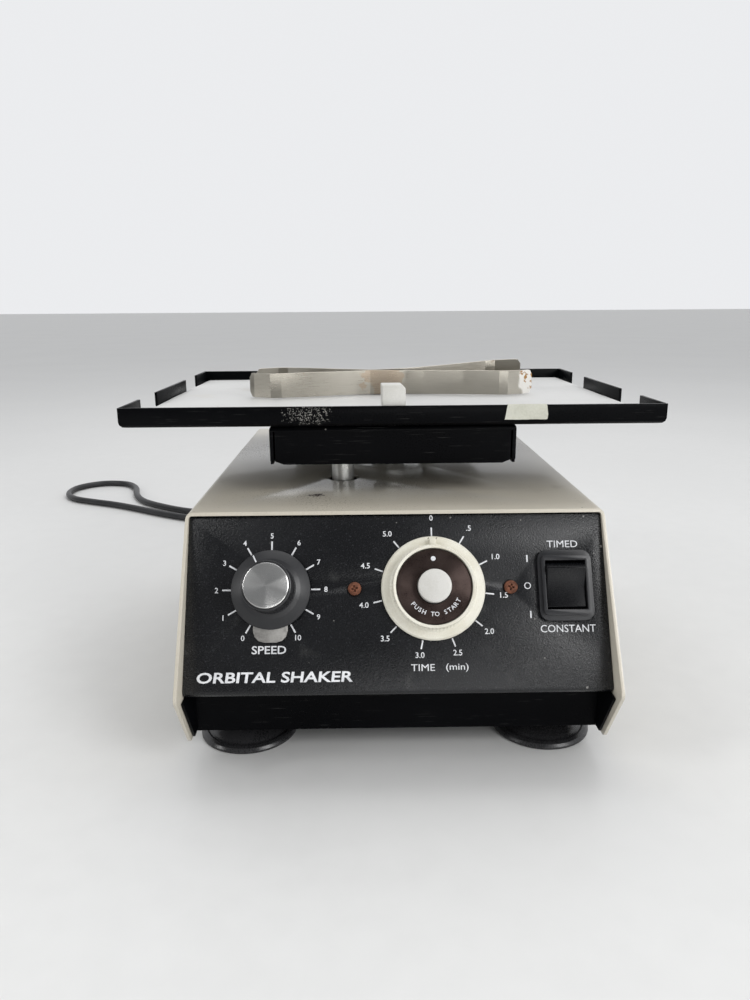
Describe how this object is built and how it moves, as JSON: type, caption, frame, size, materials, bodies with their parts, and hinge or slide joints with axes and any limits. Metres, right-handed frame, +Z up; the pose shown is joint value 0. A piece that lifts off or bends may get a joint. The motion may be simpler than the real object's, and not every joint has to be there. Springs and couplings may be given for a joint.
{
  "type": "orbital shaker",
  "caption": "Bench-top orbital shaker for microplates: lipped platform with spring strips on a sloped-panel base with speed dial, timer and rocker switch.",
  "frame": {"origin": "on the bench, under the middle of the shaker without its cord", "axes": "+Z up; the control panel faces -Y; +X is to the right seen from the front"},
  "size_m": [0.514, 0.6249, 0.1807],
  "materials": {
    "cream_paint": "semi-gloss baked enamel",
    "black_textured_paint": "fine texture",
    "black_sheet": "satin",
    "rubber": "moulded",
    "zinc_plate": "bright plated",
    "stainless": "rolled, a little rusted",
    "steel": "machined",
    "cast_aluminium": "machined casting",
    "spun_aluminium": "radially spun",
    "brown_anodised": "anodised brown",
    "rusty_screw": "rusted",
    "bronze": "sintered bronze",
    "black_plastic": "moulded",
    "cream_plastic": "moulded",
    "white_plastic": "moulded",
    "white_mat": "soft non-slip sheet",
    "circuit_board": "solder mask",
    "cord_rubber": "moulded jacket"
  },
  "bodies": {
    "base": {"top_cover": "cream_paint", "chassis_pan": "black_sheet", "front_panel": "black_textured_paint", "rear_panel": "black_sheet", "foot_front_left": "rubber", "foot_front_right": "rubber", "foot_rear_left": "rubber", "foot_rear_right": "rubber", "foot_screw_front_left": "zinc_plate", "foot_screw_front_right": "zinc_plate", "foot_screw_rear_left": "zinc_plate", "foot_screw_rear_right": "zinc_plate", "cover_screw_left_front": "zinc_plate", "cover_screw_right_front": "zinc_plate", "cover_screw_left_rear": "zinc_plate", "cover_screw_right_rear": "zinc_plate", "deck_bridge": "steel", "bearing_housing": "cast_aluminium", "shaft_bearing_lower": "steel", "shaft_bearing_upper": "steel", "motor_body": "black_sheet", "drive_belt": "rubber", "idler_bushing_lower_front": "bronze", "idler_bushing_lower_rear": "bronze", "dial_stop_tab": "steel", "potentiometer": "steel", "timer_body": "black_plastic", "timer_screw_left": "rusty_screw", "timer_screw_right": "rusty_screw", "switch_body": "black_plastic", "control_board": "circuit_board", "fuse_holder": "black_plastic", "strain_relief": "cord_rubber", "power_cord": "cord_rubber", "cord_coil": "cord_rubber", "plug": "cord_rubber"},
    "crank": {"drive_shaft": "steel", "driven_pulley": "cast_aluminium", "crank_head": "zinc_plate", "counterweight": "steel"},
    "motor_rotor": {"motor_pulley": "cast_aluminium"},
    "idler_front": {"idler_post_front": "zinc_plate"},
    "idler_rear": {"idler_post_rear": "zinc_plate"},
    "platform": {"platform_tray": "black_sheet", "platform_mat": "white_mat", "drive_tray": "black_sheet", "platform_hub": "cast_aluminium", "eccentric_bearing": "steel", "idler_bushing_upper_front": "bronze", "idler_bushing_upper_rear": "bronze", "spring_strip_front": "stainless", "spring_strip_rear": "stainless", "strip_clamp": "stainless", "spacer_block": "white_plastic"},
    "speed_dial": {"speed_knob": "black_plastic", "speed_knob_cap": "spun_aluminium"},
    "timer_dial": {"timer_ring": "cream_plastic"},
    "timer_pointer": {"timer_disc": "brown_anodised"},
    "start_push": {"start_button": "white_plastic"},
    "rocker_switch": {"rocker": "black_plastic"}
  },
  "joints": [
    {"name": "crank_spin", "type": "hinge", "parent": "base", "child": "crank", "pos_m": [0, 0.0255, 0.08], "axis": [0, 0, 1], "continuous": true},
    {"name": "platform_orbit", "type": "hinge", "parent": "crank", "child": "platform", "pos_m": [0, 0.0271, 0.145], "axis": [0, 0, -1], "continuous": true},
    {"name": "motor_spin", "type": "hinge", "parent": "base", "child": "motor_rotor", "pos_m": [-0.03, 0.091, 0.06], "axis": [0, 0, 1], "continuous": true},
    {"name": "idler_front_spin", "type": "hinge", "parent": "base", "child": "idler_front", "pos_m": [-0.0277, -0.03, 0.105], "axis": [0, 0, 1], "continuous": true},
    {"name": "idler_rear_spin", "type": "hinge", "parent": "base", "child": "idler_rear", "pos_m": [0.0277, 0.081, 0.105], "axis": [0, 0, 1], "continuous": true},
    {"name": "speed_dial_turn", "type": "hinge", "parent": "base", "child": "speed_dial", "pos_m": [-0.0605, -0.1206, 0.08754], "axis": [0, -0.8894, 0.4571], "range_deg": [-178, 122]},
    {"name": "timer_dial_turn", "type": "hinge", "parent": "base", "child": "timer_dial", "pos_m": [0.0174, -0.1206, 0.08754], "axis": [0, -0.8894, 0.4571], "range_deg": [-320, 0]},
    {"name": "timer_pointer_turn", "type": "hinge", "parent": "base", "child": "timer_pointer", "pos_m": [0.0174, -0.1206, 0.08754], "axis": [0, -0.8894, 0.4571], "range_deg": [-320, 0]},
    {"name": "start_button_press", "type": "slide", "parent": "base", "child": "start_push", "axis": [0, 0.8894, -0.4571], "range_m": [0, 0.0025], "stiffness_N_per_m": 300},
    {"name": "rocker_tilt", "type": "hinge", "parent": "base", "child": "rocker_switch", "pos_m": [0.0812, -0.11854, 0.08716], "axis": [1, 0, 0], "range_deg": [-24, 0]}
  ],
  "couplings": [
    {"joint": "crank_spin", "follows": "platform_orbit", "ratio": 1},
    {"joint": "motor_spin", "follows": "platform_orbit", "ratio": 3.3},
    {"joint": "idler_front_spin", "follows": "platform_orbit", "ratio": 1},
    {"joint": "idler_rear_spin", "follows": "platform_orbit", "ratio": 1}
  ]
}
